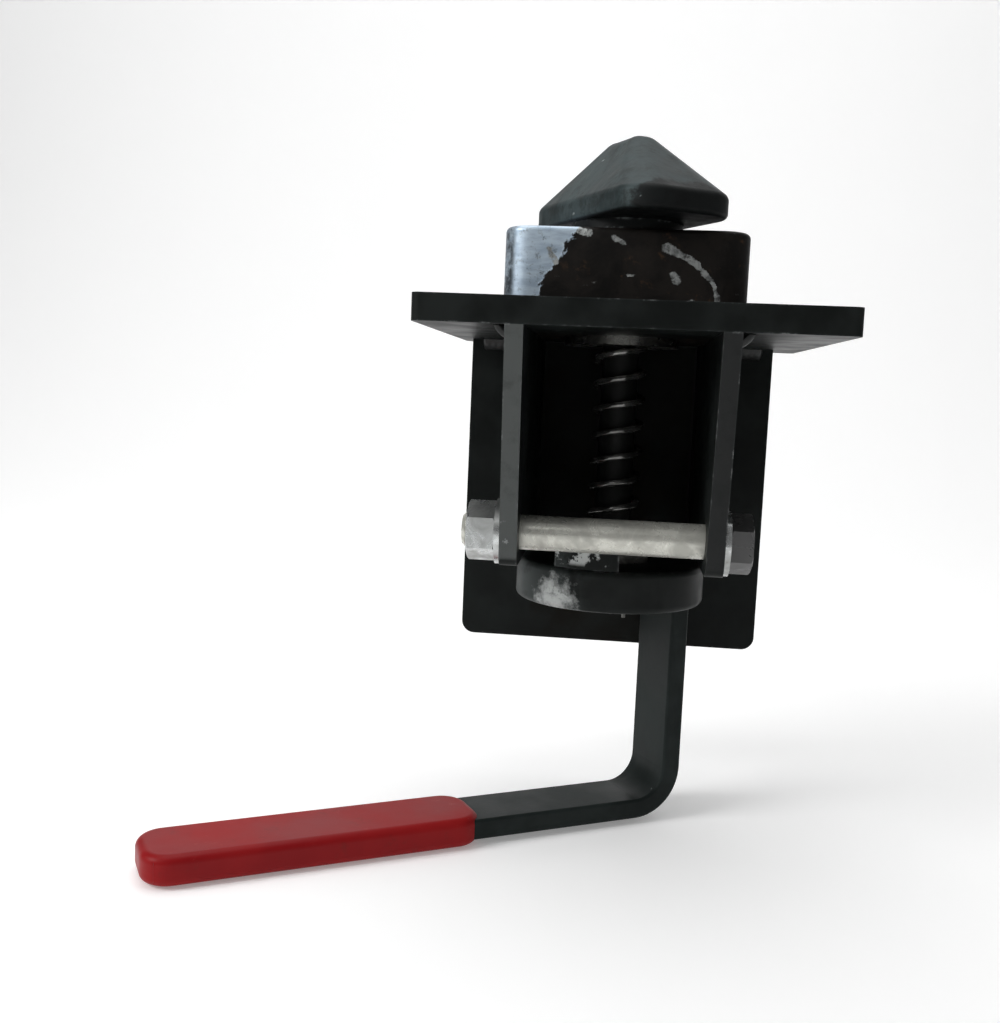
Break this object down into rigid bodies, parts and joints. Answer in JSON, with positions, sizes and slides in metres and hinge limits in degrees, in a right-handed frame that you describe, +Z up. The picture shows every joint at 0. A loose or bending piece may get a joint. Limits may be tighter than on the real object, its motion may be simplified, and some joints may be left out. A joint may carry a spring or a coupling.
{
  "type": "container twistlock",
  "caption": "Weld-on container lock: a turning head above a shear block and flange, sprung spindle in an open box of plates, cranked handle with a red grip.",
  "frame": {"origin": "spindle axis at the flange's top face, where the corner casting sits", "axes": "+Z up along the spindle towards the lock head, +Y from the open front of the housing to the back plate, +X to the right seen from the open front"},
  "size_m": [0.3011, 0.2232, 0.341],
  "materials": {
    "black_paint": "satin black paint, chipped",
    "worn_block_steel": "black paint worn to bare steel at one end",
    "forged_steel": "forged, thin grey-green black coat",
    "zinc_steel": "bright zinc plate",
    "spring_steel": "oiled spring steel",
    "red_pvc": "brick-red soft PVC"
  },
  "bodies": {
    "housing": {"flange_plate": "black_paint", "shear_block": "worn_block_steel", "left_cheek": "black_paint", "right_cheek": "black_paint", "back_plate": "black_paint", "rear_gussets": "black_paint", "cheek_flange_welds": "black_paint", "cheek_plate_welds": "black_paint", "plate_flange_welds": "black_paint", "cross_bolt": "zinc_steel", "cross_bolt_nut": "zinc_steel", "cross_bolt_washers": "zinc_steel", "upper_spring_seat": "black_paint", "return_spring": "spring_steel"},
    "lift_seat": {"lower_spring_seat": "black_paint"},
    "lock": {"lock_spindle": "forged_steel", "turning_hub": "black_paint", "hub_washer": "zinc_steel", "castle_nut": "zinc_steel", "split_pin": "zinc_steel", "handle_bar": "black_paint", "handle_weld": "black_paint", "handle_grip": "red_pvc"}
  },
  "joints": [
    {"name": "spindle_lift", "type": "slide", "parent": "housing", "child": "lift_seat", "axis": [0, 0, 1], "range_m": [0, 0.0039], "stiffness_N_per_m": 15200, "springref_m": -0.012, "deforming": ["return_spring"]},
    {"name": "lock_turn", "type": "hinge", "parent": "lift_seat", "child": "lock", "pos_m": [0, 0, 0], "axis": [0, 0, 1], "range_deg": [-30, 60]}
  ]
}
